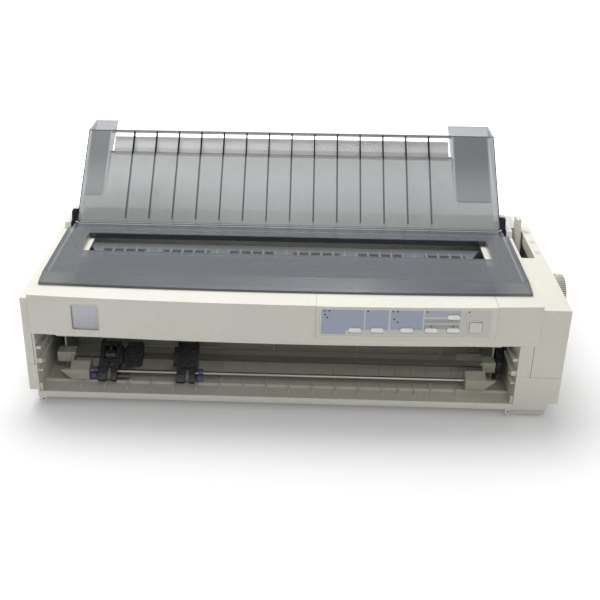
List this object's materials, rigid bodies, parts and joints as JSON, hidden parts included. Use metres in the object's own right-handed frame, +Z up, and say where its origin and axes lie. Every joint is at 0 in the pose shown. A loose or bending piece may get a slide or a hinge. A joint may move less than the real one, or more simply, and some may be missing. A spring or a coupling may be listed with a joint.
{
  "type": "dot matrix printer",
  "caption": "Wide-carriage dot matrix printer with a hinged smoked cover, raised folding sheet guide, front push tractors, side platen knob, release lever and button panel.",
  "frame": {"origin": "middle of the machine's bounding box on the desk, under the rubber feet", "axes": "+Z up, front with the control panel faces -Y, platen knob and release lever on the +X side"},
  "size_m": [0.6202, 0.3826, 0.2372],
  "materials": {
    "case_plastic": "fine textured moulded plastic",
    "smoked_cover": "smoked translucent plastic",
    "smoked_guide": "frosted smoked translucent plastic",
    "clear_flap": "clear yellowed plastic",
    "clear_bar": "clear smoked plastic",
    "panel_film": "printed film",
    "lamp": "dark lamp window",
    "badge": "satin silver-grey",
    "steel": "ground steel",
    "zinc_sheet": "zinc plated sheet",
    "black_plastic": "black moulded plastic",
    "blue_plastic": "blue-violet moulded plastic",
    "gear_plastic": "natural acetal",
    "brass": "machined",
    "rubber": "matt rubber",
    "roller_rubber": "grey rubber",
    "motor_steel": "black",
    "circuit_board": "green solder mask with parts",
    "button_plastic": "smooth moulded plastic"
  },
  "bodies": {
    "case": {"lower_case": "case_plastic", "rubber_feet": "rubber", "upper_case": "case_plastic", "left_side_cover": "case_plastic", "right_side_cover": "case_plastic", "control_panel": "case_plastic", "panel_overlay": "panel_film", "indicator_lamps": "lamp", "name_badge": "badge", "case_screws": "steel", "chassis": "zinc_sheet", "paper_guide": "case_plastic", "carriage_rod": "steel", "carriage_rail": "zinc_sheet", "timing_belt": "rubber", "carriage_motor": "motor_steel", "feed_motor": "motor_steel", "main_board": "circuit_board", "power_supply": "zinc_sheet", "parallel_port": "black_plastic", "power_inlet": "black_plastic", "tractor_bracket_left": "case_plastic", "tractor_bracket_right": "case_plastic", "tractor_rod": "steel", "tension_frame": "clear_bar"},
    "printer_cover": {"cover_shell": "smoked_cover", "cover_hinge_tube": "smoked_cover"},
    "sheet_guide": {"sheet_guide": "smoked_guide"},
    "guide_flap": {"guide_flap": "clear_flap"},
    "platen": {"platen_roller": "rubber", "platen_shaft": "steel", "platen_gear": "gear_plastic", "platen_knob": "case_plastic"},
    "idler_gear": {"idler_gear": "black_plastic"},
    "feed_pinion": {"feed_pinion": "brass"},
    "tension_rollers": {"tension_rollers": "roller_rubber"},
    "tractor_drive": {"tractor_shaft": "steel", "tractor_gear": "black_plastic"},
    "tractor_left": {"tractor_left": "black_plastic"},
    "sprocket_left": {"sprocket_left": "black_plastic"},
    "flap_left": {"flap_left": "black_plastic"},
    "lock_lever_left": {"lock_lever_left": "blue_plastic"},
    "tractor_right": {"tractor_right": "black_plastic"},
    "sprocket_right": {"sprocket_right": "black_plastic"},
    "flap_right": {"flap_right": "black_plastic"},
    "lock_lever_right": {"lock_lever_right": "blue_plastic"},
    "carriage": {"carriage": "black_plastic", "print_head": "motor_steel", "ribbon_cartridge": "black_plastic"},
    "drive_pulley": {"drive_pulley": "gear_plastic"},
    "idler_pulley": {"idler_pulley": "gear_plastic"},
    "release_lever": {"release_lever": "case_plastic"},
    "button_1": {"button_1": "button_plastic"},
    "button_2": {"button_2": "button_plastic"},
    "button_3": {"button_3": "button_plastic"},
    "button_4": {"button_4": "button_plastic"},
    "button_5": {"button_5": "button_plastic"},
    "button_6": {"button_6": "button_plastic"},
    "power_button": {"power_button": "button_plastic"}
  },
  "joints": [
    {"name": "cover_hinge", "type": "hinge", "parent": "case", "child": "printer_cover", "pos_m": [-0.0171, 0.02392, 0.1484], "axis": [-1, 0, 0], "range_deg": [0, 80]},
    {"name": "guide_hinge", "type": "hinge", "parent": "case", "child": "sheet_guide", "pos_m": [-0.0171, 0.02392, 0.1484], "axis": [-1, 0, 0], "range_deg": [0, 38.5]},
    {"name": "guide_flap_hinge", "type": "hinge", "parent": "sheet_guide", "child": "guide_flap", "pos_m": [-0.0171, 0.1276, 0.21196], "axis": [-1, 0, 0], "range_deg": [0, 50]},
    {"name": "platen_turn", "type": "hinge", "parent": "case", "child": "platen", "pos_m": [-0.0171, -0.08707, 0.118], "axis": [1, 0, 0], "continuous": true},
    {"name": "idler_turn", "type": "hinge", "parent": "case", "child": "idler_gear", "pos_m": [0.2349, -0.09437, 0.07056], "axis": [1, 0, 0], "continuous": true},
    {"name": "pinion_turn", "type": "hinge", "parent": "case", "child": "feed_pinion", "pos_m": [0.2349, -0.06578, 0.10309], "axis": [1, 0, 0], "continuous": true},
    {"name": "tractor_drive_turn", "type": "hinge", "parent": "case", "child": "tractor_drive", "pos_m": [-0.0171, -0.12284, 0.03968], "axis": [1, 0, 0], "continuous": true},
    {"name": "tension_turn", "type": "hinge", "parent": "case", "child": "tension_rollers", "pos_m": [-0.0171, -0.03308, 0.131], "axis": [1, 0, 0], "continuous": true},
    {"name": "tractor_left_slide", "type": "slide", "parent": "case", "child": "tractor_left", "axis": [1, 0, 0], "range_m": [-0.002, 0.035]},
    {"name": "tractor_right_slide", "type": "slide", "parent": "case", "child": "tractor_right", "axis": [1, 0, 0], "range_m": [-0.035, 0.304]},
    {"name": "sprocket_left_turn", "type": "hinge", "parent": "tractor_left", "child": "sprocket_left", "pos_m": [-0.2231, -0.12284, 0.03968], "axis": [1, 0, 0], "continuous": true},
    {"name": "sprocket_right_turn", "type": "hinge", "parent": "tractor_right", "child": "sprocket_right", "pos_m": [-0.1301, -0.12284, 0.03968], "axis": [1, 0, 0], "continuous": true},
    {"name": "flap_left_hinge", "type": "hinge", "parent": "tractor_left", "child": "flap_left", "pos_m": [-0.2091, -0.14462, 0.03409], "axis": [0, -0.788, -0.6157], "range_deg": [0, 168]},
    {"name": "flap_right_hinge", "type": "hinge", "parent": "tractor_right", "child": "flap_right", "pos_m": [-0.1441, -0.14462, 0.03409], "axis": [0, -0.788, -0.6157], "range_deg": [0, 168]},
    {"name": "lock_lever_left_turn", "type": "hinge", "parent": "tractor_left", "child": "lock_lever_left", "pos_m": [-0.2396, -0.13908, 0.027], "axis": [-1, 0, 0], "range_deg": [0, 60]},
    {"name": "lock_lever_right_turn", "type": "hinge", "parent": "tractor_right", "child": "lock_lever_right", "pos_m": [-0.1136, -0.13908, 0.027], "axis": [-1, 0, 0], "range_deg": [0, 60]},
    {"name": "carriage_slide", "type": "slide", "parent": "case", "child": "carriage", "axis": [1, 0, 0], "range_m": [-0.028, 0.318]},
    {"name": "drive_pulley_turn", "type": "hinge", "parent": "case", "child": "drive_pulley", "pos_m": [-0.2531, -0.14108, 0.09], "axis": [0, 0, 1], "continuous": true},
    {"name": "idler_pulley_turn", "type": "hinge", "parent": "case", "child": "idler_pulley", "pos_m": [0.2129, -0.14108, 0.09], "axis": [0, 0, 1], "continuous": true},
    {"name": "release_lever_swing", "type": "hinge", "parent": "case", "child": "release_lever", "pos_m": [0.2799, 0.02593, 0.07], "axis": [1, 0, 0], "range_deg": [0, 45]},
    {"name": "button_1_press", "type": "slide", "parent": "case", "child": "button_1", "axis": [0, 1, 0], "range_m": [0, 0.0012], "stiffness_N_per_m": 300},
    {"name": "button_2_press", "type": "slide", "parent": "case", "child": "button_2", "axis": [0, 1, 0], "range_m": [0, 0.0012], "stiffness_N_per_m": 300},
    {"name": "button_3_press", "type": "slide", "parent": "case", "child": "button_3", "axis": [0, 1, 0], "range_m": [0, 0.0012], "stiffness_N_per_m": 300},
    {"name": "button_4_press", "type": "slide", "parent": "case", "child": "button_4", "axis": [0, 1, 0], "range_m": [0, 0.0012], "stiffness_N_per_m": 300},
    {"name": "button_5_press", "type": "slide", "parent": "case", "child": "button_5", "axis": [0, 1, 0], "range_m": [0, 0.0012], "stiffness_N_per_m": 300},
    {"name": "button_6_press", "type": "slide", "parent": "case", "child": "button_6", "axis": [0, 1, 0], "range_m": [0, 0.0012], "stiffness_N_per_m": 300},
    {"name": "power_button_press", "type": "slide", "parent": "case", "child": "power_button", "axis": [0, 1, 0], "range_m": [0, 0.0012], "stiffness_N_per_m": 400}
  ],
  "couplings": [
    {"joint": "idler_turn", "follows": "platen_turn", "ratio": -0.71429},
    {"joint": "pinion_turn", "follows": "platen_turn", "ratio": -3.3333},
    {"joint": "tractor_drive_turn", "follows": "platen_turn", "ratio": 1.4286},
    {"joint": "sprocket_left_turn", "follows": "platen_turn", "ratio": 1.4286},
    {"joint": "sprocket_right_turn", "follows": "platen_turn", "ratio": 1.4286},
    {"joint": "drive_pulley_turn", "follows": "carriage_slide", "rad_per_m": 113.64},
    {"joint": "idler_pulley_turn", "follows": "carriage_slide", "rad_per_m": 113.64}
  ]
}
